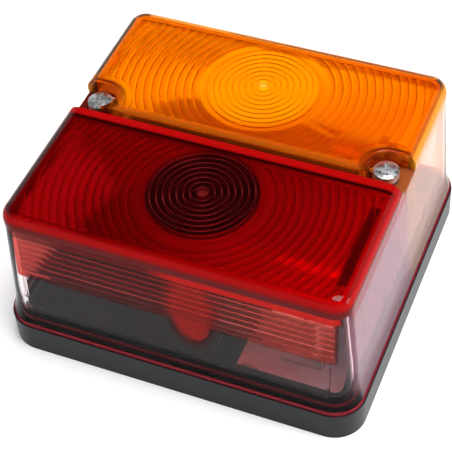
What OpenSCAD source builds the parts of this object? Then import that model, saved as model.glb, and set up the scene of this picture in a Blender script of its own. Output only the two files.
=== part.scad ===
// Tail light cluster for a trailer or tractor: a red stop and tail lamp and an
// amber indicator lamp under one moulded lens, on a black base that is screwed
// to the vehicle. The clear front wall throws the tail lamp's light on the
// number plate.
// Frame: X runs along the ribbed window, Y from the window to the amber side,
// Z up from the back of the base. The origin is the middle of the back.

/* [Outer form] */
// Width over the base, along the ribbed window
lamp_w = 106; // [103:1:116]
// Depth over the base, from the window to the amber side
lamp_d = 98; // [95:1:110]
// Height of the black base's side
base_h = 9.5; // [9:0.5:11]
// Height of the clear wall, from the base to the coloured lenses
clear_h = 37; // [36:0.5:43]
// Height of the coloured lenses' skirt
cap_h = 5.5; // [5:0.1:8]
// Corner radius of the base
corner_r = 9; // [8.6:0.2:11]

/* [Base] */
// Thickness of the base's outer skin
skin_t = 2.2; // [1.8:0.1:2.5]
// Width of the land that the clear body stands on
land_w = 5; // [4.8:0.1:5.4]
// Thickness of that land
land_t = 2.8; // [2.4:0.1:3.4]
// Thickness of the upstand inside the clear body
upstand_t = 1.6; // [1.2:0.1:1.9]
// Height of the upstand above the land
upstand_h = 3; // [2:0.5:4]
// Thickness of the floor
floor_t = 2; // [1.6:0.2:2.6]
// Height of the foot rim and bosses below the floor
foot_h = 1; // [0.8:0.1:1.6]
// Depth of the gasket's groove in the land
gasket_h = 1.2; // [0.8:0.1:1.5]
// Width of the gasket
gasket_w = 1.4; // [1:0.1:1.8]
// Distance between the two fixing holes
fixing_pitch = 60; // [50:1:64]
// Radius of a fixing hole
fixing_r = 2.75; // [2.25:0.25:3.25]
// Radius of the boss round a fixing hole
fixing_boss_r = 6.5; // [5.5:0.5:8]

/* [Clear body] */
// Thickness of the clear wall
wall_t = 2.3; // [1.8:0.1:2.5]
// Step from the base's edge to the wall's foot
foot_in = 1.5; // [1.3:0.1:1.9]
// Lean of the wall, inwards from its foot to its top
lean = 2.4; // [1.6:0.1:2.6]
// Thickness of the flange on the base
flange_t = 1.2; // [1:0.1:1.8]
// Step from the base's edge to the flange's edge
flange_in = 0.4; // [0.2:0.1:0.8]
// Height of the flare between flange and wall
flare_h = 7; // [4:0.5:9]
// Distance between the window's ribs
rib_pitch = 2.15; // [1.8:0.05:2.3]
// Number of ribs
rib_count = 8; // [5:1:8]
// Height that a rib stands into the lamp
rib_rise = 0.5; // [0.3:0.05:0.7]
// Height of the plain strip below the ribs, from the base
window_h = 19.8; // [17:0.2:20]
// Depth of the plain strip's recess
window_cut = 0.7; // [0.4:0.1:1]

/* [Coloured lenses] */
// Thickness of the lens faces and skirts
cap_t = 2.3; // [2:0.1:2.6]
// How far the skirt stands proud of the clear wall
cap_proud = 0.2; // [0:0.1:0.5]
// Radius of the lenses' top edge
cap_edge_r = 4; // [2.4:0.1:4.4]
// Width of the groove between the two lenses
seam_w = 2.2; // [1.8:0.1:2.6]
// Depth of that groove
seam_depth = 3; // [2.4:0.1:3.6]
// Width of the clear bar under the groove
bar_w = 5; // [4.6:0.1:5.4]
// Height of that bar
bar_h = 3.4; // [2.8:0.1:4]
// Pitch of the fine rings over the bulb
fine_pitch = 1.8; // [1.5:0.1:2.2]
// Radius of the disc of fine rings
fine_r = 18; // [14.4:1.8:19.8]
// Pitch of the wide rings
wide_pitch = 2.3; // [2:0.1:3]
// Depth of the rings
ring_rise = 0.8; // [0.5:0.05:1]
// Width of the plain border round the rings
border = 2.6; // [2:0.2:4]
// Width of the plain band round a screw's pocket
plain_w = 4.3; // [3.8:0.1:5]

/* [Lens screws] */
// Distance from the base's side to a screw's axis
screw_in = 10.3; // [10:0.1:11.5]
// Distance from the groove's middle to the screws
screw_y = 5.7; // [5.3:0.1:6.2]
// Radius of a screw's head
head_r = 3.5; // [3:0.1:3.9]
// Height of a screw's head
head_h = 2.6; // [2:0.1:2.8]
// Radius of a screw's shank
shank_r = 1.95; // [1.7:0.05:2.1]
// Distance from the floor of the base to a screw's tip
screw_tip = 3.2; // [2:0.1:6]
// Height of the pillars that the screws bite in, from the floor of the base
pillar_h = 12.5; // [11:0.1:14]
// Depth of the pocket below the lens face
pocket_depth = 5.8; // [5.2:0.1:6.2]
// Thickness of the pocket's floor
pocket_t = 2.2; // [1.8:0.1:2.6]
// Radius of the pocket
pocket_r = 5.2; // [5:0.1:5.6]
// Thickness of the rubber seal under the head
seal_t = 1; // [0.6:0.1:1.4]
// Wall of the clear tube round a screw
tube_t = 1.9; // [1.4:0.1:2.1]

/* [Bulbs] */
// Height of the bulbs' axis above the back
light_z = 25; // [24:0.5:27]
// Shift of the tail bulb from the middle of its half, towards the amber side
tail_shift = 4.5; // [3.5:0.1:5]
// Shift of the indicator bulb from the middle of its half, the same way
indicator_shift = 0.1; // [-0.5:0.1:1]
// Radius of a bulb's glass
glass_r = 12.5; // [11.5:0.25:13]
// Thickness of the glass
glass_t = 0.8; // [0.5:0.1:1]
// Length from a bulb's contact to the middle of its glass
bulb_l = 40.3; // [38:0.5:42]
// Radius of a bulb's cap
cap_r = 7.5; // [7:0.1:7.6]
// Length of a bulb's cap
bulb_cap_l = 15.5; // [13:0.5:16]

/* [Bulb holders] */
// Distance from the base's side to the holders' back end
holder_in = 11.5; // [11:0.5:13]
// Length of a holder
holder_l = 17; // [15:0.5:18]
// Thickness of a holder's sheet
holder_t = 0.6; // [0.5:0.1:0.8]
// Thickness of the plate on the floor and of the brackets
plate_t = 1; // [0.8:0.1:1.2]
// Width of the plate, along the ribbed window
plate_w = 32; // [30:1:34]
// Width of a bracket
bracket_w = 22; // [20:1:24]
// Length of a bracket's foot
bracket_foot = 11; // [10:0.5:12]
// Thickness of the divider between the two lamps
divider_t = 0.8; // [0.6:0.1:1]
// Thickness of a contact block
block_t = 1.8; // [1.4:0.1:2.2]
// Thickness of the contact strips
strip_t = 0.4; // [0.3:0.05:0.6]

/* [Cable inlet] */
// Distance of the inlet from the lamp's middle, along the window
inlet_x = -26; // [-30:1:-20]
// Distance of the inlet from the lamp's middle, to the amber side
inlet_y = 18; // [14:1:22]
// Radius of the inlet's hole in the floor
inlet_r = 6; // [5:0.5:7]
// Radius of the grommet's bore, for the cable
cable_r = 3.5; // [2.5:0.25:4]
// Width of the grommet's lips round the hole
lip_w = 2; // [1.5:0.25:2.5]

/* [Hidden] */
$fn = 64;
// Clearance of pieces that slide or drop together
clear = 0.3;
// Fit of a pin, cap or shank in its hole
fit = 0.1;
// Overlap of parts of one moulding
join = 0.4;

// Corner centres, shared by the base, the wall and the lenses
cx = lamp_w/2 - corner_r;
cy = lamp_d/2 - corner_r;
floor_z = foot_h + floor_t;
rim_z = base_h + clear_h;
top_z = rim_z + cap_h;
face_z = top_z - cap_t;
seam_z = top_z - seam_depth;
pocket_z = top_z - pocket_depth;
big = lamp_w + lamp_d;

// Distances outwards from the corner centres
upstand_x = corner_r - land_w - upstand_t;
flange_x = corner_r - flange_in;
function wall_out(z) = corner_r - foot_in - lean*(z - base_h)/clear_h;
function wall_in(z) = wall_out(z) - wall_t;
cap_x = wall_out(rim_z) + cap_proud;
lean_angle = atan(lean/clear_h);
// Ledge between the flare and the flange's edge
ledge = 0.2;
// How far the window's ribs run into the corners
window_over = 1;

// Lens screws, seals and tubes
screw_x = lamp_w/2 - screw_in;
head_z = pocket_z + seal_t;
hole_r = shank_r + clear;
tube_r = hole_r + tube_t;
pillar_z = floor_z + pillar_h;
tip_z = floor_z + screw_tip;
bar_z = rim_z - bar_h;
slot_z = bar_z + 1;
pillar_bore_r = shank_r + fit/2;
plain_r = pocket_r + plain_w;

// Bulbs, from the tip of the contact
holder_x = lamp_w/2 - holder_in;
contact_in = 1.2;
tip_down = 4;
tip_r = 1.3;
tongue_w = 3;
contact_x = holder_x - contact_in;
light_x = contact_x - bulb_l;
tail_y = tail_shift - lamp_d/4;
indicator_y = indicator_shift + lamp_d/4;
cap_from = 2;
pin_at = 8.5;
pin_r = 1;
pin_reach = cap_r + 1;
neck_r = cap_r - 0.7;
neck_from = 12;
neck_to = 19;
stem_to = 30;
filament_gap = 3.2;
bracket_at = 3;
holder_r = cap_r + fit;
holder_out = holder_r + holder_t;
tip_gap = 3;
collar_w = 1.4;
slot_w = 2*pin_r + 2*fit;
slot_dip = 1.5;
slot_turn = 35;
cup_r = 4.6;
cup_tip_r = 3.9;
cup_from = 0.9;
stem_h = 8;
lead_r = 0.3;
coil_r = 0.6;
coil_gap = 1.4;
low_coil = 2.5;

// Plate, brackets and rivets on the floor
plate_x = cx + upstand_x - clear - plate_w;
plate_y = cy + upstand_x - clear;
plate_z = floor_z + plate_t;
bracket_x = contact_x - bracket_at - plate_t;
rivet_r = 1.5;
rivet_head_r = 2.6;
rivet_head_h = 0.9;
rivet_edge = 4;
swage_y = (tail_y + bracket_w/2)/2;
swage_w = 2.4;
swage_h = 0.6;
blade_w = 4.8;
blade_drop = 7;
earth_in = 6;
earth_x = plate_x + earth_in;
earth_y = (indicator_y - bracket_w/2)/2;
earth_w = 6.3;
earth_h = 9;
earth_foot = 8;

// Base and grommet
web_t = 1.4;
slot_rib_t = 1.5;
slot_rib_h = 3;
lip_t = 0.9;
cone_h = 4;

// Helpers

// Runs a profile round the lamp: its x is the distance outwards from the
// corner centres, its y the height
module around() {
    for (k = [0:3]) rotate(90*k) {
        long = k % 2 == 0;
        translate([long ? cx : cy, 0, 0]) rotate([90, 0, 0])
            linear_extrude(2*(long ? cy : cx), center = true) children();
        translate([long ? cx : cy, long ? cy : cx, 0]) rotate_extrude(angle = 90) children();
    }
}

// Rounded rectangle that reaches x outwards from the corner centres
module plan(x) {
    square([2*cx, 2*(cy + x)], center = true);
    square([2*(cx + x), 2*cy], center = true);
    for (i = [-1, 1], j = [-1, 1]) translate([i*cx, j*cy]) circle(x);
}

module slab(x, from, to) translate([0, 0, from]) linear_extrude(to - from) plan(x);

// Box from its two opposite corners
module block(low, high) translate(low) cube(high - low);

module ring(r_out, r_in, h) difference() {
    cylinder(r = r_out, h = h);
    translate([0, 0, -1]) cylinder(r = r_in, h = h + 2);
}

module at_screws() for (s = [-1, 1]) translate([s*screw_x, screw_y, 0]) children();

module at_screw(s) translate([s*screw_x, screw_y, 0]) children();

// A bulb's own frame: Z along its axis from the contact's tip to the glass, X down
module at_bulb(y) translate([contact_x, y, light_z]) rotate([0, -90, 0]) rotate(180) children();

module rivet(grip) {
    cylinder(r = rivet_r, h = grip);
    for (z = [-rivet_head_h, grip]) translate([0, 0, z]) cylinder(r = rivet_head_r, h = rivet_head_h);
}

// Base

// Cored rim with the land, the gasket's groove and the upstand
module base_rim_section() difference() {
    union() {
        translate([corner_r - skin_t, 0]) square([skin_t, base_h]);
        translate([upstand_x, base_h - land_t]) square([corner_r - upstand_x, land_t]);
        translate([upstand_x, foot_h]) square([upstand_t, base_h + upstand_h - foot_h]);
    }
    translate([corner_r - land_w/2 - gasket_w, base_h - gasket_h]) square([gasket_w, gasket_h + 1]);
}

// Webs that stiffen the hollow rim from behind
module rim_webs() {
    from = upstand_x + upstand_t/2;
    to = corner_r - skin_t/2;
    high = base_h - land_t + join;
    for (side = [0, 180]) rotate(side) {
        for (x = [-0.8, -0.4, 0, 0.4, 0.8]*cx)
            block([x - web_t/2, cy + from, foot_h], [x + web_t/2, cy + to, high]);
        for (y = [-0.75, -0.25, 0.25, 0.75]*cy)
            block([cx + from, y - web_t/2, foot_h], [cx + to, y + web_t/2, high]);
    }
}

module base() color("#2b2e32") difference() {
    union() {
        around() base_rim_section();
        slab(upstand_x + join, foot_h, floor_z);
        rim_webs();
        at_screws() translate([0, 0, foot_h]) cylinder(r = tube_r, h = pillar_z - foot_h);
        for (s = [-1, 1]) translate([0, s*fixing_pitch/2, 0])
            cylinder(r = fixing_boss_r, h = floor_z + foot_h);
        for (s = [-1, 1])
            block([-cx - upstand_x - join, s*(divider_t/2 + fit + slot_rib_t/2) - slot_rib_t/2, foot_h],
                [plate_x - clear, s*(divider_t/2 + fit + slot_rib_t/2) + slot_rib_t/2,
                    floor_z + slot_rib_h]);
    }
    at_screws() translate([0, 0, floor_z]) cylinder(r = pillar_bore_r, h = big);
    for (s = [-1, 1]) translate([0, s*fixing_pitch/2, -1]) cylinder(r = fixing_r, h = big);
    translate([inlet_x, inlet_y, -1]) cylinder(r = inlet_r, h = big);
    for (p = plate_rivet_places()) translate([p.x, p.y, 0]) cylinder(r = rivet_r + fit/2, h = big);
}

module base_gasket() color("#1c1c1e") around()
    translate([corner_r - land_w/2 - gasket_w, base_h - gasket_h]) square([gasket_w, gasket_h]);

// Grommet with a lip on each side of the floor and a cone round the cable
module cable_grommet() color("#202022") translate([inlet_x, inlet_y, 0]) rotate_extrude() {
    lip_r = inlet_r + lip_w;
    translate([cable_r, foot_h - lip_t]) square([lip_r - cable_r, lip_t]);
    translate([cable_r, foot_h - lip_t]) square([inlet_r - cable_r - fit/2, floor_t + 2*lip_t]);
    polygon([[cable_r, floor_z], [lip_r, floor_z], [lip_r, floor_z + lip_t],
        [cable_r + lip_t, floor_z + cone_h], [cable_r, floor_z + cone_h]]);
}

// Clear body

// Section of flange, flare and leaning wall
module body_section() {
    under = base_h + flange_t;
    // The flare's circle ends on the flange, beside its edge, and touches the leaning wall
    touch_z = under + flare_h;
    touch_x = wall_out(touch_z);
    edge_x = flange_x - ledge/2;
    out = flange_x - ledge - touch_x;
    flare_r = (out*out + flare_h*flare_h)/2/(out*cos(lean_angle) - flare_h*sin(lean_angle));
    polygon([[wall_in(base_h), base_h], [wall_out(base_h), base_h], [wall_out(rim_z), rim_z],
        [wall_in(rim_z), rim_z]]);
    translate([wall_in(base_h), base_h]) square([flange_x - wall_in(base_h), flange_t]);
    difference() {
        polygon([[touch_x - join, under - join], [edge_x, under - join], [edge_x, touch_z],
            [touch_x, touch_z], [touch_x - join, touch_z]]);
        translate([touch_x + flare_r*cos(lean_angle), touch_z + flare_r*sin(lean_angle)])
            circle(flare_r, $fn = 256);
    }
}

// Half-round ribs inside the window, which follow the leaning wall
module window_ribs() {
    rib_r = rib_pitch/2;
    top = rim_z - rib_pitch;
    for (i = [0:rib_count - 1]) {
        z = top - i*rib_pitch;
        translate([0, -cy - wall_in(z) - rib_r + rib_rise, z]) rotate([0, 90, 0])
            cylinder(r = rib_r, h = 2*(cx + window_over), center = true, $fn = 24);
    }
}

// Shallow recess behind the plain strip of the window
module window_recess() {
    low = base_h + upstand_h + 1;
    high = base_h + window_h;
    translate([0, -cy - wall_in(low), low]) rotate([-lean_angle, 0, 0])
        block([-cx - window_over/2, -window_cut, 0], [cx + window_over/2, wall_t, high - low]);
}

// Plan of the pockets for the screw heads, open to the lamp's sides
module pocket_plan(grow = 0) at_screws2d() {
    circle(pocket_r + grow);
    translate([0, -pocket_r - grow]) square([screw_in, 2*(pocket_r + grow)]);
}

module at_screws2d() for (s = [0, 1]) mirror([s, 0]) translate([screw_x, screw_y]) children();

// What lies inside the clear walls, and over their rim inside the coloured lenses' outline
module body_inside() {
    slab(wall_in(rim_z) + join, 0, rim_z);
    slab(cap_x, rim_z, top_z);
}

module lens_body() color([0.92, 0.93, 0.95, 0.35]) difference() {
    union() {
        around() body_section();
        window_ribs();
        // Bar between the lamps: the coloured lenses stand on it, on both sides of the groove
        intersection() {
            body_inside();
            union() {
                block([-big, -bar_w/2, bar_z], [big, bar_w/2, rim_z]);
                block([-big, -seam_w/2, bar_z], [big, seam_w/2, seam_z]);
            }
        }
        // Floors of the pockets and the tubes round the screws
        intersection() {
            body_inside();
            translate([0, 0, pocket_z - pocket_t]) linear_extrude(pocket_t) pocket_plan();
        }
        at_screws() translate([0, 0, pillar_z + clear])
            cylinder(r = tube_r, h = pocket_z - pillar_z - clear - join);
    }
    translate([0, 0, pocket_z]) linear_extrude(big) pocket_plan();
    window_recess();
    at_screws() cylinder(r = hole_r, h = big);
    // Slot for the divider's top edge
    block([-cx - wall_in(rim_z), -divider_t/2 - fit, 0], [cx + wall_in(rim_z), divider_t/2 + fit, slot_z]);
}

// Coloured lenses

// Skirt with its rounded top edge
module cap_section() translate([cap_x - cap_t, rim_z]) {
    square([cap_t, cap_h - cap_edge_r]);
    intersection() {
        translate([cap_t - cap_edge_r, cap_h - cap_edge_r]) circle(cap_edge_r);
        union() {
            translate([0, cap_h - cap_edge_r]) square([cap_t, cap_edge_r]);
            translate([cap_t - cap_edge_r, cap_h - cap_t]) square([cap_edge_r, cap_t]);
        }
    }
}

// Saw-tooth rings under a lens face: fine over the bulb, wide further out
fine_count = floor(fine_r/fine_pitch);
wide_count = ceil((lamp_w/2 + 6 - fine_r)/wide_pitch);
function fine_tooth(i) = [[i*fine_pitch, -ring_rise*(0.25 + 0.5*i/fine_count)],
    [(i + 0.92)*fine_pitch, -0.1], [(i + 1)*fine_pitch, -0.1]];
function wide_tooth(i) = [[fine_r + (i + 0.1)*wide_pitch, -0.1],
    [fine_r + (i + 0.84)*wide_pitch, -ring_rise], [fine_r + (i + 0.98)*wide_pitch, -ring_rise]];

module ring_field() rotate_extrude($fn = 96) polygon(concat(
    [[0, join]],
    [for (i = [0:fine_count - 1]) each fine_tooth(i)],
    [for (i = [0:wide_count - 1]) each wide_tooth(i)],
    [[fine_r + wide_count*wide_pitch, join]]));

// One coloured lens: side is -1 for the red half, 1 for the amber half
module cap(side, light_y) {
    inner = seam_w/2 + cap_t;
    difference() {
        union() {
            intersection() {
                union() {
                    around() cap_section();
                    slab(cap_x - cap_edge_r, face_z, top_z);
                }
                block([-big, side > 0 ? seam_w/2 : -big, 0], [big, side > 0 ? big : -seam_w/2, big]);
            }
            // Wall along the groove
            intersection() {
                slab(cap_x - cap_t + join, rim_z, top_z - join);
                block([-big, side > 0 ? seam_w/2 : -inner, 0], [big, side > 0 ? inner : -seam_w/2, big]);
            }
            // Rings, kept off the border and the pockets
            difference() {
                intersection() {
                    translate([light_x, light_y, face_z]) ring_field();
                    slab(cap_x - cap_t - border/2, 0, big);
                    block([-big, side > 0 ? inner + border/2 : -big, 0],
                        [big, side > 0 ? big : -inner - border/2, big]);
                }
                at_screws() cylinder(r = plain_r, h = big);
            }
            if (side > 0) intersection() {
                slab(cap_x - cap_t + join, rim_z, top_z - join);
                linear_extrude(big) pocket_plan(cap_t);
                block([-big, seam_w/2, 0], [big, big, big]);
            }
        }
        linear_extrude(big) pocket_plan();
    }
}

module red_lens() color([0.75, 0.02, 0.04, 0.85]) cap(-1, tail_y);
module amber_lens() color([1, 0.5, 0.02, 0.85]) cap(1, indicator_y);

// Lens screws

module lens_screw() {
    dome_r = (head_r*head_r + 1)*1.2;
    difference() {
        intersection() {
            translate([0, 0, head_z]) cylinder(r = head_r, h = head_h);
            translate([0, 0, head_z + head_h - dome_r]) sphere(dome_r, $fn = 96);
        }
        for (a = [20, 110]) translate([0, 0, head_z + head_h]) rotate(a)
            cube([1.25*head_r, 0.25*head_r, head_h], center = true);
    }
    translate([0, 0, tip_z]) cylinder(r = shank_r, h = head_z - tip_z);
}

module lens_screw_left() color("#c9ccd0") at_screw(-1) lens_screw();
module lens_screw_right() color("#c9ccd0") at_screw(1) lens_screw();

module screw_seal() translate([0, 0, pocket_z]) ring(head_r, shank_r + fit, seal_t);
module screw_seal_left() color("#1c1c1e") at_screw(-1) screw_seal();
module screw_seal_right() color("#1c1c1e") at_screw(1) screw_seal();

// Divider, plate and brackets

module divider() color("#b9bcc0") {
    low = floor_z + fit;
    high = slot_z - fit;
    foot = cx + upstand_x - clear;
    neck = cx + min(wall_in(base_h + upstand_h), wall_in(high)) - clear;
    step = base_h + upstand_h + clear;
    translate([0, divider_t/2, 0]) rotate([90, 0, 0]) linear_extrude(divider_t) difference() {
        polygon([[-foot, low], [foot, low], [foot, step], [neck, step], [neck, high], [-neck, high],
            [-neck, step], [-foot, step]]);
        translate([plate_x - clear, 0]) square([big, plate_z + fit]);
    }
}

function plate_rivet_places() = [for (x = [plate_x + rivet_edge, cx - rivet_edge], s = [-1, 1])
    [x, s*(plate_y - rivet_edge)]];
function bracket_rivet_places(y) = [for (s = [-1, 1])
    [bracket_x - bracket_foot/2, y + s*bracket_w/4]];

module holder_plate() color("#b4b8bd") difference() {
    union() {
        block([plate_x, -plate_y, floor_z], [plate_x + plate_w, plate_y, plate_z]);
        // Swage that stiffens the plate between the two lamps
        block([plate_x + rivet_edge, swage_y - swage_w/2, floor_z],
            [plate_x + plate_w - rivet_edge, swage_y + swage_w/2, plate_z + swage_h]);
    }
    translate([screw_x, screw_y, 0]) cylinder(r = tube_r + clear, h = big);
    for (p = plate_rivet_places()) translate([p.x, p.y, 0]) cylinder(r = rivet_r + fit/2, h = big);
    for (y = [tail_y, indicator_y], p = bracket_rivet_places(y)) translate([p.x, p.y, 0])
        cylinder(r = rivet_r + fit/2, h = big);
    // The corners follow the base
    intersection() {
        block([cx, -big, 0], [big, big, big]);
        difference() {
            block([-big, -big, 0], [big, big, big]);
            slab(upstand_x - clear, -1, big);
        }
    }
}

module plate_rivets() color("#c8a860") for (p = plate_rivet_places())
    translate([p.x, p.y, foot_h]) rivet(plate_z - foot_h);

module earth_blade() color("#c9a650") translate([earth_x, earth_y - earth_w/2, plate_z]) {
    cube([2*strip_t, earth_w, earth_h]);
    cube([earth_foot, earth_w, 2*strip_t]);
}

// L-shaped bracket: a foot on the plate and an ear round the holder
module bracket(y) difference() {
    union() {
        translate([bracket_x - bracket_foot, y - bracket_w/2, plate_z])
            cube([bracket_foot + plate_t, bracket_w, plate_t]);
        translate([bracket_x, y - bracket_w/2, plate_z]) cube([plate_t, bracket_w, light_z - plate_z]);
        translate([bracket_x, y, light_z]) rotate([0, 90, 0]) cylinder(r = bracket_w/2, h = plate_t);
    }
    translate([bracket_x - 1, y, light_z]) rotate([0, 90, 0])
        cylinder(r = holder_out + fit/2, h = plate_t + 2);
    for (p = bracket_rivet_places(y)) translate([p.x, p.y, 0]) cylinder(r = rivet_r + fit/2, h = big);
}

module bracket_rivets(y) for (p = bracket_rivet_places(y))
    translate([p.x, p.y, floor_z]) {
        cylinder(r = rivet_r, h = 2*plate_t);
        translate([0, 0, 2*plate_t]) cylinder(r = rivet_head_r, h = rivet_head_h);
    }

module tail_bracket() color("#b4b8bd") bracket(tail_y);
module indicator_bracket() color("#b4b8bd") bracket(indicator_y);
module tail_rivets() color("#c9ccd0") bracket_rivets(tail_y);
module indicator_rivets() color("#c9ccd0") bracket_rivets(indicator_y);

// Bayonet holders

module holder() difference() {
    union() {
        translate([0, 0, -contact_in]) cylinder(r = holder_out, h = holder_l);
        // Collar that the bracket's ear sits against
        translate([0, 0, bracket_at + plate_t]) cylinder(r = holder_out + collar_w, h = holder_t);
    }
    translate([0, 0, -contact_in - 1]) cylinder(r = holder_r, h = holder_l + 2);
    // Bayonet slots: in along the holder, across, and back to the pin's seat
    for (a = [90, 270]) rotate(a) {
        across = pin_at - pin_r - slot_dip;
        rotate(slot_turn) block([holder_r - join, -slot_w/2, across], [holder_out + 1, slot_w/2, holder_l]);
        translate([0, 0, across - fit]) rotate_extrude(angle = slot_turn)
            translate([holder_r - 2*join, 0]) square([holder_t + 2*join + 2, slot_w + fit]);
        block([holder_r - join, -slot_w/2, across], [holder_out + 1, slot_w/2, pin_at + pin_r + fit]);
    }
}

module tail_holder() color("#c2c4c6") at_bulb(tail_y) holder();
module indicator_holder() color("#c2c4c6") at_bulb(indicator_y) holder();

// Insulating block behind a holder, bored for the contacts' rivets
module contact_block(places) difference() {
    translate([0, 0, -contact_in - block_t]) cylinder(r = holder_out, h = block_t);
    for (p = places) translate([tip_down, p, -contact_in - block_t - 1]) cylinder(r = pin_r, h = block_t + 2);
}

// Contact: a spring tongue at the bulb, a rivet through the block, and a blade
// behind it for the cable's tag
module contact(p) translate([0, p, 0]) {
    back = -contact_in - block_t;
    foot = -contact_in + strip_t;
    translate([0, tongue_w/2, 0]) rotate([90, 0, 0]) linear_extrude(tongue_w) polygon([
        [-tip_r, 0], [tip_r, 0], [tip_down, foot], [tip_down + 2*pin_r, foot],
        [tip_down + 2*pin_r, -contact_in], [tip_down - pin_r, -contact_in],
        [tip_r - strip_t, -strip_t], [-tip_r, -strip_t]]);
    translate([tip_down, 0, back - strip_t]) cylinder(r = pin_r, h = block_t + strip_t + fit);
    block([tip_down - 2*pin_r, -blade_w/2, back - strip_t],
        [holder_out + blade_drop, blade_w/2, back]);
}

module tail_block() color("#6b4a2c") at_bulb(tail_y) contact_block([-tip_gap, tip_gap]);
module indicator_block() color("#6b4a2c") at_bulb(indicator_y) contact_block([0]);
module tail_contact() color("#c9a650") at_bulb(tail_y) contact(-tip_gap);
module stop_contact() color("#c9a650") at_bulb(tail_y) contact(tip_gap);
module indicator_contact() color("#c9a650") at_bulb(indicator_y) contact(0);

// Bulbs

// Half outline of a pear-shaped bulb, with the straight flank tangent to the globe
module pear(r, neck) {
    drop = bulb_l - neck_to;
    reach = norm([neck, drop]);
    turn = atan2(drop, -neck) - asin(r/reach);
    flank = sqrt(reach*reach - r*r);
    intersection() {
        union() {
            translate([0, bulb_l]) circle(r);
            polygon([[0, neck_from], [neck, neck_from], [neck, neck_to],
                [neck + flank*cos(turn), neck_to + flank*sin(turn)], [0, bulb_l]]);
        }
        square([big, big]);
    }
}

module bulb_glass() {
    rotate_extrude() difference() {
        pear(glass_r, neck_r);
        difference() {
            pear(glass_r - glass_t, neck_r - glass_t);
            square([big, neck_from + glass_t]);
        }
    }
    // Stem that carries the filament's leads, pressed flat at its end
    translate([0, 0, neck_from + glass_t/2]) cylinder(r1 = neck_r/2, r2 = neck_r/3, h = stem_h);
    block([-filament_gap, -coil_gap, neck_from + stem_h - 1], [filament_gap, coil_gap, stem_to]);
}

module bulb_cap() difference() {
    union() {
        translate([0, 0, cap_from]) ring(cap_r, neck_r + fit, bulb_cap_l);
        translate([0, 0, cap_from]) cylinder(r = cap_r, h = glass_t);
        for (a = [0, 180]) rotate(a) translate([0, neck_r + 2*fit, pin_at]) rotate([-90, 0, 0])
            cylinder(r = pin_r, h = pin_reach - neck_r - 2*fit);
    }
    cylinder(r = cup_r, h = cap_from + glass_t + 1);
}

module bulb_insulator(places) difference() {
    union() {
        translate([0, 0, cup_from]) cylinder(r1 = cup_tip_r, r2 = cup_r, h = cap_from - cup_from);
        translate([0, 0, cap_from]) cylinder(r = cup_r, h = glass_t);
    }
    for (p = places) translate([0, p, -1]) cylinder(r = tip_r, h = big);
}

module bulb_tips(places) for (p = places) translate([0, p, 0])
    cylinder(r = tip_r, h = cap_from + glass_t);

// Leads from the stem and the coil between them, shifted sideways and along
module filament(shift, along) translate([0, shift, 0]) {
    for (s = [-1, 1]) translate([s*(filament_gap - coil_r), 0, stem_to])
        cylinder(r = lead_r, h = bulb_l + along - stem_to);
    translate([-filament_gap, 0, bulb_l + along]) rotate([0, 90, 0])
        cylinder(r = coil_r, h = 2*filament_gap);
}

module tail_bulb_glass() color([0.9, 0.93, 0.95, 0.3]) at_bulb(tail_y) bulb_glass();
module tail_bulb_cap() color("#c2b280") at_bulb(tail_y) bulb_cap();
module tail_bulb_filaments() color("#8a8a90") at_bulb(tail_y) {
    filament(coil_gap/2, 0);
    filament(-coil_gap/2, -low_coil);
}
module tail_bulb_insulator() color("#2a2420") at_bulb(tail_y) bulb_insulator([-tip_gap, tip_gap]);
module tail_bulb_contacts() color("#c9ccd0") at_bulb(tail_y) bulb_tips([-tip_gap, tip_gap]);

module indicator_bulb_glass() color([0.9, 0.93, 0.95, 0.3]) at_bulb(indicator_y) bulb_glass();
module indicator_bulb_cap() color("#c2b280") at_bulb(indicator_y) bulb_cap();
module indicator_bulb_filament() color("#8a8a90") at_bulb(indicator_y) filament(0, 0);
module indicator_bulb_insulator() color("#2a2420") at_bulb(indicator_y) bulb_insulator([0]);
module indicator_bulb_contact() color("#c9ccd0") at_bulb(indicator_y) bulb_tips([0]);

base();
base_gasket();
cable_grommet();
lens_body();
red_lens();
amber_lens();
lens_screw_left();
lens_screw_right();
screw_seal_left();
screw_seal_right();
divider();
holder_plate();
plate_rivets();
earth_blade();
tail_bracket();
tail_rivets();
tail_holder();
tail_block();
tail_contact();
stop_contact();
tail_bulb_glass();
tail_bulb_cap();
tail_bulb_filaments();
tail_bulb_insulator();
tail_bulb_contacts();
indicator_bracket();
indicator_rivets();
indicator_holder();
indicator_block();
indicator_contact();
indicator_bulb_glass();
indicator_bulb_cap();
indicator_bulb_filament();
indicator_bulb_insulator();
indicator_bulb_contact();
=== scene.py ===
import math

import bpy
from mathutils import Matrix, Vector


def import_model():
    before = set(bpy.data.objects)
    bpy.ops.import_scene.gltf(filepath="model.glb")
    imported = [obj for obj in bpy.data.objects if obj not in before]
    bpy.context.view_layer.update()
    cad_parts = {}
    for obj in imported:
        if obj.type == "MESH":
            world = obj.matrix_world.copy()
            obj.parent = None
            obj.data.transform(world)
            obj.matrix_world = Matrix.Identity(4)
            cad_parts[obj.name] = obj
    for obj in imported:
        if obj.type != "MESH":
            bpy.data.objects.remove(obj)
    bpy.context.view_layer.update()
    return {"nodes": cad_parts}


# Tail light cluster: ringed red and amber lenses on a clear body, over a black base.
# The scene is in metres, in the frame of the part. The materials measure the lamp in
# millimetres: the window is towards -Y, the amber half towards +Y, and +Z is up.

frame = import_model()
nodes = frame["nodes"]

MM = 0.001

# Places on the lamp, in millimetres
RED_MIDDLE = (0.1, -20.0)
AMBER_MIDDLE = (0.1, 24.6)
RIGHT_SCREW = (42.7, 5.7)  # the left one is its mirror image
FINE_PITCH = 1.8  # from ring to ring in the disc of fine rings


# Materials


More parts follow.
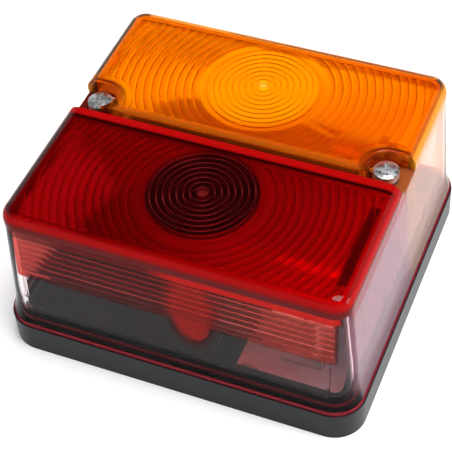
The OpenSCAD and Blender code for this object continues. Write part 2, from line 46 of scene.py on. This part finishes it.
def tone(code):
    """Linear colour of an sRGB hex code."""
    part = [int(code[i:i + 2], 16) / 255 for i in (1, 3, 5)]
    return [c / 12.92 if c <= 0.04045 else ((c + 0.055) / 1.055) ** 2.4 for c in part] + [1.0]


def add(tree, kind, inputs=(), **settings):
    """Adds a node. inputs gives its sockets by name or number, or in their order.

    Each is a value, a hex code, or what it is linked from: a socket, or a node for its first output."""
    made = tree.nodes.new(kind)
    for name, value in settings.items():
        setattr(made, name, value)
    named = inputs if isinstance(inputs, dict) else dict(enumerate(inputs))
    for name, value in named.items():
        if isinstance(value, bpy.types.Node):
            value = value.outputs[0]
        if isinstance(value, bpy.types.NodeSocket):
            tree.links.new(value, made.inputs[name])
        else:
            made.inputs[name].default_value = tone(value) if isinstance(value, str) else value
    return made


def blank(name):
    """A new material with an empty node tree."""
    made = bpy.data.materials.new(name)
    made.use_nodes = True
    made.node_tree.nodes.clear()
    return made, made.node_tree


def place(tree):
    """Where a point is on the lamp, in millimetres."""
    metres = add(tree, "ShaderNodeTexCoord").outputs["Object"]
    return add(tree, "ShaderNodeMapping", {"Vector": metres, "Scale": [1 / MM] * 3})


def level(tree):
    """1 on level faces, 0 on upright ones, from either side."""
    normal = add(tree, "ShaderNodeNewGeometry").outputs["Normal"]
    rise = add(tree, "ShaderNodeSeparateXYZ", [normal]).outputs["Z"]
    return add(tree, "ShaderNodeMath", [rise], operation="ABSOLUTE")


def area(tree, *limits):
    """Mask of an area of the lamp, 1 where all its limits hold.

    A limit is a mask, or a measure with the value where it starts to hold and the one where it fully does."""
    mask = 1.0
    for limit in limits:
        if isinstance(limit, tuple):
            limit = add(tree, "ShaderNodeMapRange", limit)
        mask = add(tree, "ShaderNodeMath", [mask, limit], operation="MULTIPLY")
    return mask


def clear_acrylic():
    """Injection-moulded clear acrylic: glass-like, with the faint swirl of its flow, 14 mm wide.

    Its walls are painted with the colours that the lenses throw on them: pink on the red half, peach on
    the amber one, red ribs and a red gleam in the window. Its index is lowered to the lamp's faint gloss."""
    made, tree = blank("clear_moulded_acrylic")
    spot = place(tree)
    x, y, z = add(tree, "ShaderNodeSeparateXYZ", [spot]).outputs
    window = area(tree, (y, -43.5, -44.5))
    ribs = area(tree, window, (z, 28.9, 29.9), (z, 44.5, 43.5))
    ledges = area(tree, (level(tree), 0.1, 0.5))
    amber_half = area(tree, (y, 3, 4))
    # The left wall takes a fifth of the right one's painted light
    right_wall = area(tree, (x, 44, 47))
    left_wall = add(tree, "ShaderNodeMapRange", [x, -47, -44, 0.2, 0])
    walls = add(tree, "ShaderNodeMath", [right_wall, left_wall], operation="MAXIMUM")
    sides = area(tree, walls, (y, -43, -40))
    # The gleam, painted red light in the window, is an upright oval, twice as high as it is wide, with its
    # middle at X 6 and Z 35
    oval = add(tree, "ShaderNodeVectorMath", [spot, (1, 0, 0.5)], operation="MULTIPLY")
    reach = add(tree, "ShaderNodeVectorMath", [oval, (6, 0, 17.5)], operation="DISTANCE").outputs["Value"]
    gleam = area(tree, window, (reach, 8.5, 5))
    # Each area of painted light and shade: where it is, its two painted tones, where the second one is, and
    # how much light goes straight on
    painted_light_areas = [
        # The side walls: painted light of the lenses, pink on the red half and peach on the amber one
        (sides, "#d8a8b8", "#f2c4b0", amber_half, 0.85),
        # The ribs, painted red with the lens's light and with painted highlights on their ledges, and the
        # redder painted stretch of them towards the right
        (area(tree, ribs, (x, -46, -45), (x, 47, 46)), "#a01812", "#e07c70", ledges, 0.88),
        (area(tree, ribs, (x, 5, 35), (x, 46.5, 45.5)), "#d84c40", "#f09084", ledges, 0.75),
        # The red gleam in the window: painted light
        (gleam, "#d42012", "#d42012", 0, 0.72),
        # The tops of the window and of the side walls, under the lenses: painted shade on the window's top,
        # which turns to painted red light right of X 2, and the lenses' painted light on the side walls
        (area(tree, window, (z, 43.6, 44.2)), "#6a1814", "#d81a12", area(tree, (x, -6, 2)), 0.4),
        (area(tree, sides, (z, 42, 46)), "#c04450", "#f0a878", amber_half, 0.6),
        # The flange on the base, painted with a line of the red lens's light
        (area(tree, (z, 11.1, 10.7)), "#b42c3c", "#b42c3c", 0, 0.6),
        # The notches at the screws, darkened with painted shade, more on the left
        (area(tree, (z, 45.1, 46.1), (y, -2.5, -1.5), (y, 13.5, 12.5)), "#6a2018", "#9a5028",
         area(tree, (x, -10, 10)), 0.4),
    ]
    shade, clear = "#f8f0f0", 1.0
    # The colour comes in before the haze, which alone would be white at an area's edge
    for where, first, second, split, passed in painted_light_areas:
        colour = add(tree, "ShaderNodeMix", {0: split, 6: first, 7: second}, data_type="RGBA").outputs[2]
        early = add(tree, "ShaderNodeMapRange", [where, 0, 0.5])
        shade = add(tree, "ShaderNodeMix", {0: early, 6: shade, 7: colour}, data_type="RGBA").outputs[2]
        clear = add(tree, "ShaderNodeMapRange", [where, 0.5, 1, clear, passed])
    swirl = add(tree, "ShaderNodeTexNoise", {"Vector": spot, "Scale": 1 / 14, "Detail": 1}).outputs["Fac"]
    add(tree, "ShaderNodeOutputMaterial", [add(tree, "ShaderNodeBsdfPrincipled", {
        "Base Color": shade, "Roughness": 0.03, "IOR": 1.16, "Specular IOR Level": 0.2,
        "Transmission Weight": clear,
        "Normal": add(tree, "ShaderNodeBump", {"Height": swirl, "Distance": 0.12 * MM})})])
    return made


def coloured_acrylic(name, middle, side, tones, passed):
    """Moulded transparent acrylic, dyed in the mass: polished outside, finely grained on the ringed side.

    middle is the rings' middle, and side is -1 for the red half, 1 for the amber one. The colour of the mass
    looks deeper at the root of a ring and paler at its crest, and the crests are painted brighter along
    tones["towards"], as light falls on them. Most other tones paint highlights and shade: on the flanks, the
    disc, the middle, the end of the ring field, the walls, the groove, the border and the pockets. passed is
    how much light goes straight on at each place. Its index is lowered to the lamp's faint gloss."""
    made, tree = blank(name)
    spot = place(tree)
    x, y, z = add(tree, "ShaderNodeSeparateXYZ", [spot]).outputs
    out = add(tree, "ShaderNodeMath", [x], operation="ABSOLUTE")
    across = add(tree, "ShaderNodeMath", [y, side], operation="MULTIPLY")
    flat = add(tree, "ShaderNodeVectorMath", [spot, (1, 1, 0)], operation="MULTIPLY")
    along = add(tree, "ShaderNodeVectorMath", [flat, tones["towards"]],
                operation="DOT_PRODUCT").outputs["Value"]
    reach = add(tree, "ShaderNodeVectorMath", [flat, (*middle, 0)], operation="DISTANCE").outputs["Value"]
    step = add(tree, "ShaderNodeMath", [reach, FINE_PITCH], operation="MODULO")

    # Painted light: the crests brighten along tones["towards"]
    bright = area(tree, (along, tones["from"], tones["to"]))
    upright = area(tree, (level(tree), 0.85, 0.55))
    inner = area(tree, (z, 50.5, 49.8))
    field = area(tree, inner, (out, 46.5, 45.5), (across, 3.5, 4.5), (across, 43.5, 42.5))
    flank = area(tree, field, upright)
    wall = area(tree, upright, (field, 1, 0))
    root = area(tree, (z, 49.4, 48.92))
    end = area(tree, field, (x, 42.7, 43.7), (x, 46.9, 45.9), (across, 8.5, 9.5), (across, 37.5, 36.5))
    disc = area(tree, (reach, 15.8, 14.8))
    fine_flank = area(tree, (step, 1.30, 1.54), (step, 2.02, 1.78))
    centre = area(tree, (reach, 1.8, 0.8))
    groove = area(tree, (across, -0.4, 0.4), (across, 4.0, 3.2))

    # The colours that go from one tone to another
    crests, roots, fine, skirt = (
        add(tree, "ShaderNodeMix", {0: split, 6: tones[first], 7: tones[second]}, data_type="RGBA").outputs[2]
        for split, first, second in [
            (bright, "crest", "bright crest"), (bright, "root", "crest"), (fine_flank, "disc", "fine flank"),
            (area(tree, (z, 48.2, 49.6)), "skirt", "rim")])
    # Over the colour of the mass go painted light and shade: the end of the ring field, the flanks, the disc
    # and its fine flanks, the middle, the rim over the skirt, and the groove
    dye_and_painted_steps = [(root, roots), (end, tones["end"]), (flank, tones["flank"]), (disc, fine),
            (centre, tones["middle"]), (wall, skirt), (groove, tones["groove"])]
    among_rings = add(tree, "ShaderNodeMapRange", [disc, 0, 1, passed["rings"], passed["disc"]])
    shares = [(inner, among_rings), (upright, passed["wall"]), (groove, passed["groove"])]
    if side > 0:
        # The amber half also has a pale border of painted highlight, under its groove, and the pockets of the
        # screws, darkened with painted shade
        ends, back = area(tree, (out, 48.2, 49.2)), area(tree, (across, 44.2, 45.2))
        border = add(tree, "ShaderNodeMath", [ends, back], operation="MAXIMUM")
        beside = add(tree, "ShaderNodeCombineXYZ", [out, y])
        to_screw = add(tree, "ShaderNodeVectorMath", [beside, (*RIGHT_SCREW, 0)],
                       operation="DISTANCE").outputs["Value"]
        pocket = area(tree, (to_screw, 8.0, 6.4))
        dye_and_painted_steps.insert(-1, (border, tones["rim"]))
        dye_and_painted_steps.append((pocket, tones["pocket"]))
        shares += [(border, passed["wall"]), (pocket, passed["pocket"])]
    dye_and_painted_light, share = crests, passed["face"]
    for where, colour in dye_and_painted_steps:
        dye_and_painted_light = add(tree, "ShaderNodeMix", {0: where, 6: dye_and_painted_light, 7: colour}, data_type="RGBA").outputs[2]
    for where, part in shares:
        share = add(tree, "ShaderNodeMapRange", [where, 0, 1, share, part])
    swirl = add(tree, "ShaderNodeTexNoise", {"Vector": spot, "Scale": 1 / 9, "Detail": 1}).outputs["Fac"]
    add(tree, "ShaderNodeOutputMaterial", [add(tree, "ShaderNodeBsdfPrincipled", {
        "Base Color": dye_and_painted_light, "IOR": 1.25, "Specular IOR Level": 0.1, "Transmission Weight": share,
        "Roughness": add(tree, "ShaderNodeMapRange", [inner, 0, 1, 0.03, 0.15]),
        "Normal": add(tree, "ShaderNodeBump", {"Height": swirl, "Distance": 0.03 * MM})})])
    return made


def moulded_black_plastic():
    """Black polypropylene from a spark-eroded mould: a fine satin grain of a fifth of a millimetre.

    The floor under the red lens is warmer from the light of the lens."""
    made, tree = blank("moulded_black_polypropylene")
    spot = place(tree)
    x, y, z = add(tree, "ShaderNodeSeparateXYZ", [spot]).outputs
    under_red = area(tree, (x, -48.5, -47.5), (x, 48.5, 47.5), (y, -44.5, -43.5), (y, 3.5, 2.5),
                     (z, 3, 4), (z, 9.5, 8.5))
    patch = add(tree, "ShaderNodeTexNoise", {"Vector": spot, "Scale": 1 / 12}).outputs["Fac"]
    black = add(tree, "ShaderNodeMix", {0: patch, 6: "#111417", 7: "#1b1f23"}, data_type="RGBA").outputs[2]
    grain = add(tree, "ShaderNodeTexNoise", {"Vector": spot, "Scale": 1 / 0.2, "Detail": 1}).outputs["Fac"]
    add(tree, "ShaderNodeOutputMaterial", [add(tree, "ShaderNodeBsdfPrincipled", {
        "Base Color": add(tree, "ShaderNodeMix", {0: under_red, 6: black, 7: "#2a1614"},
                          data_type="RGBA").outputs[2],
        "Roughness": add(tree, "ShaderNodeMapRange", [grain, 0, 1, 0.32, 0.4]), "Specular IOR Level": 0.15,
        "Normal": add(tree, "ShaderNodeBump", {"Height": grain, "Distance": 0.0004 * MM})})])
    return made


def black_rubber():
    """Moulded rubber: matt, pebbled at 0.4 mm, with a bloom in patches of 5 mm."""
    made, tree = blank("black_moulded_rubber")
    spot = place(tree)
    bloom = add(tree, "ShaderNodeTexNoise", {"Vector": spot, "Scale": 1 / 5}).outputs["Fac"]
    pebble = add(tree, "ShaderNodeTexNoise", {"Vector": spot, "Scale": 1 / 0.4}).outputs["Fac"]
    add(tree, "ShaderNodeOutputMaterial", [add(tree, "ShaderNodeBsdfPrincipled", {
        "Base Color": add(tree, "ShaderNodeMix", {0: bloom, 6: "#18191b", 7: "#2a2b2d"},
                          data_type="RGBA").outputs[2],
        "Roughness": 0.75,
        "Normal": add(tree, "ShaderNodeBump", {"Height": pebble, "Distance": 0.02 * MM})})])
    return made


def metal(name, dark, bright, low, high, lump, depth, metallic=1.0):
    """Sheet or turned metal, with its patches of tarnish lump millimetres wide.

    Its roughness goes from low to high with the patches, and its bumps are depth millimetres deep."""
    made, tree = blank(name)
    patch = add(tree, "ShaderNodeTexNoise", {"Vector": place(tree), "Scale": 1 / lump, "Detail": 3,
                                             "Roughness": 0.6}).outputs["Fac"]
    tarnish = area(tree, (patch, 0.3, 0.7))
    add(tree, "ShaderNodeOutputMaterial", [add(tree, "ShaderNodeBsdfPrincipled", {
        "Base Color": add(tree, "ShaderNodeMix", {0: tarnish, 6: dark, 7: bright},
                          data_type="RGBA").outputs[2],
        "Metallic": metallic, "Roughness": add(tree, "ShaderNodeMapRange", [tarnish, 0, 1, low, high]),
        "Normal": add(tree, "ShaderNodeBump", {"Height": patch, "Distance": depth * MM})})])
    return made


def laminated_board():
    """Brown phenolic paper board: sawn edges show its layers, half a millimetre each."""
    made, tree = blank("brown_laminated_board")
    layer = add(tree, "ShaderNodeTexWave", {"Vector": place(tree), "Scale": 0.6, "Distortion": 0.4},
                bands_direction="X").outputs["Fac"]
    add(tree, "ShaderNodeOutputMaterial", [add(tree, "ShaderNodeBsdfPrincipled", {
        "Base Color": add(tree, "ShaderNodeMix", {0: layer, 6: "#4a2c18", 7: "#6b4526"},
                          data_type="RGBA").outputs[2],
        "Roughness": 0.5,
        "Normal": add(tree, "ShaderNodeBump", {"Height": layer, "Distance": 0.02 * MM})})])
    return made


def blown_glass():
    """Thin blown glass, clean and clear, slightly wavy. Its index is lowered, as the acrylics' are."""
    made, tree = blank("clear_blown_glass")
    wave = add(tree, "ShaderNodeTexNoise", {"Vector": place(tree), "Scale": 1 / 8}).outputs["Fac"]
    add(tree, "ShaderNodeOutputMaterial", [add(tree, "ShaderNodeBsdfPrincipled", {
        "Base Color": "#fbfdfc", "Roughness": 0.0, "IOR": 1.2, "Transmission Weight": 1.0,
        "Normal": add(tree, "ShaderNodeBump", {"Height": wave, "Distance": 0.08 * MM})})])
    return made


def black_glass():
    """Black vitreous insulator of a bulb's cap."""
    made, tree = blank("black_vitreous_insulator")
    streak = add(tree, "ShaderNodeTexNoise", {"Vector": place(tree), "Scale": 1 / 1.5}).outputs["Fac"]
    add(tree, "ShaderNodeOutputMaterial", [add(tree, "ShaderNodeBsdfPrincipled", {
        "Base Color": add(tree, "ShaderNodeMix", {0: streak, 6: "#15110f", 7: "#2a2320"},
                          data_type="RGBA").outputs[2],
        "Roughness": 0.2, "Coat Weight": 0.5})])
    return made


# The red lens: painted light brightens the crests towards the right front, painted highlights lie on the
# flanks, the fine flanks, the middle, the rim and the groove, and the disc, the end of the ring field and the
# skirt are painted in shade
red = coloured_acrylic("red_moulded_acrylic", RED_MIDDLE, -1, {
    "crest": "#b4060d", "bright crest": "#e60a10", "root": "#98060b", "flank": "#cc2026",
    "towards": (1, -0.6, 0), "from": 0, "to": 60, "disc": "#5c0408", "fine flank": "#c84848",
    "middle": "#e84848", "end": "#4a0308", "rim": "#b00809", "skirt": "#700507", "groove": "#c00c0c",
}, {"face": 0.97, "rings": 0.55, "disc": 0.9, "wall": 0.3, "groove": 0.5})
# The amber lens: painted light brightens the crests towards the left back and lightens the middle, the disc,
# the end of the ring field, the walls and the border, and the flanks, the fine flanks, the groove and the
# pockets are painted in shade
amber = coloured_acrylic("amber_moulded_acrylic", AMBER_MIDDLE, 1, {
    "crest": "#f08400", "bright crest": "#ffac00", "root": "#ea7a00", "flank": "#d05c04",
    "towards": (-0.6, 1, 0), "from": 2, "to": 30, "disc": "#ffa200", "fine flank": "#e08000",
    "middle": "#ffd050", "end": "#ff9800", "rim": "#ffa41c", "skirt": "#ff9c14", "groove": "#c46010",
    "pocket": "#b85410",
}, {"face": 0.97, "rings": 0.4, "disc": 0.7, "wall": 0.5, "groove": 0.6, "pocket": 0.9})
rubber = black_rubber()
zinc = metal("bright_zinc_plate", "#bcbec0", "#eceef0", 0.2, 0.5, 1.5, 0.01)
sheet = metal("dull_tinned_sheet", "#c3c5c9", "#dcdde0", 0.5, 0.65, 6, 0.02, 0.4)
brass = metal("rolled_brass", "#a8823c", "#d0ab5c", 0.25, 0.45, 3, 0.01)
nickel = metal("nickel_plated_brass", "#b3aa92", "#d6d0bd", 0.15, 0.32, 2.5, 0.01)
tungsten = metal("drawn_tungsten", "#4a4a4e", "#77777c", 0.3, 0.5, 0.8, 0.005)
solder = metal("tinned_solder", "#8e9092", "#c2c4c6", 0.3, 0.5, 0.7, 0.02)
board = laminated_board()
glass = blown_glass()
insulator = black_glass()

FINISH = {
    "base": moulded_black_plastic(), "lens_body": clear_acrylic(), "red_lens": red, "amber_lens": amber,
    "base_gasket": rubber, "cable_grommet": rubber, "screw_seal_left": rubber, "screw_seal_right": rubber,
    "lens_screw_left": zinc, "lens_screw_right": zinc, "plate_rivets": zinc,
    "divider": sheet, "holder_plate": sheet, "earth_blade": brass, "stop_contact": brass,
    "tail_bulb_filaments": tungsten, "indicator_bulb_filament": tungsten,
    "tail_bulb_contacts": solder, "indicator_bulb_contact": solder,
}
for lamp in ("tail", "indicator"):
    FINISH.update({
        lamp + "_bracket": sheet, lamp + "_rivets": zinc, lamp + "_holder": zinc, lamp + "_block": board,
        lamp + "_contact": brass, lamp + "_bulb_cap": nickel, lamp + "_bulb_glass": glass,
        lamp + "_bulb_insulator": insulator,
    })
for name, finish in FINISH.items():
    held = nodes[name].data.materials
    held.clear()
    held.append(finish)


# Studio: a plain pale floor, and soft light from a large box overhead and a small one on the right


def studio_floor():
    """A plain pale card, 4 metres wide."""
    bpy.ops.mesh.primitive_plane_add(size=4)
    floor = bpy.context.object
    floor.name = "floor"
    card, tree = blank("pale_studio_card")
    add(tree, "ShaderNodeOutputMaterial", [add(tree, "ShaderNodeBsdfDiffuse", {"Color": "#f4f4f5"})])
    floor.data.materials.append(card)


def soft_box(name, spot, size, watts):
    """Area light at spot, of size metres, turned to the lamp's inside."""
    inside = Vector((0, 0, 0.02))
    lamp = bpy.data.lights.new(name, "AREA")
    lamp.shape = "RECTANGLE"
    lamp.size, lamp.size_y = size
    lamp.energy = watts
    held = bpy.data.objects.new(name, lamp)
    bpy.context.scene.collection.objects.link(held)
    held.location = spot
    held.rotation_euler = (inside - Vector(spot)).to_track_quat("-Z", "Y").to_euler()


def world(lit, overhead):
    """The studio round the lamp, which lights it at strength lit.

    The camera, metal and glass see it white round the horizon and at strength overhead above."""
    sky = bpy.data.worlds.new("white_studio")
    bpy.context.scene.world = sky
    sky.use_nodes = True
    tree = sky.node_tree
    tree.nodes.clear()
    heading = add(tree, "ShaderNodeTexCoord").outputs["Generated"]
    rise = add(tree, "ShaderNodeSeparateXYZ", [heading]).outputs["Z"]
    seen = add(tree, "ShaderNodeMapRange", [rise, 0.4, 0.6, 1, overhead])
    rays = add(tree, "ShaderNodeLightPath").outputs
    shown = rays["Is Camera Ray"]
    for kind in ("Is Glossy Ray", "Is Transmission Ray"):
        shown = add(tree, "ShaderNodeMath", [shown, rays[kind]], operation="MAXIMUM")
    strength = add(tree, "ShaderNodeMapRange", [shown, 0, 1, lit, seen])
    add(tree, "ShaderNodeOutputWorld", [
        add(tree, "ShaderNodeBackground", {"Color": "#ffffff", "Strength": strength})])


def camera():
    """Camera at the photograph's angle, fitted to its edges: azimuth and elevation, turned by roll."""
    azimuth, elevation, roll = (math.radians(a) for a in (25.814, 47.749, -4.870))
    aimed_at = Vector((-1.967, -3.187, 20.0)) * MM
    away = 403.6 * MM
    back = Vector((math.sin(azimuth) * math.cos(elevation), -math.cos(azimuth) * math.cos(elevation),
                   math.sin(elevation)))
    right = Vector((math.cos(azimuth), math.sin(azimuth), 0))
    up = back.cross(right)
    turned = math.cos(roll) * right + math.sin(roll) * up
    risen = math.cos(roll) * up - math.sin(roll) * right
    lens = bpy.data.cameras.new("camera")
    lens.sensor_width = 36
    lens.lens = 111.26
    held = bpy.data.objects.new("camera", lens)
    bpy.context.scene.collection.objects.link(held)
    turn = Matrix((turned, risen, back)).transposed().to_4x4()
    held.matrix_world = Matrix.Translation(aimed_at + back * away) @ turn
    bpy.context.scene.camera = held


studio_floor()
world(0.5, 0.03)
soft_box("overhead_box", (0.25, 0.0, 1.1), (0.7, 0.7), 16)
soft_box("right_box", (1.0, 0.2, 0.35), (0.5, 0.4), 5)
camera()

bpy.context.scene.view_settings.view_transform = "Standard"
# Light crosses many faces of clear plastic and glass on its way
bpy.context.scene.cycles.max_bounces = 32
bpy.context.scene.cycles.transmission_bounces = 32
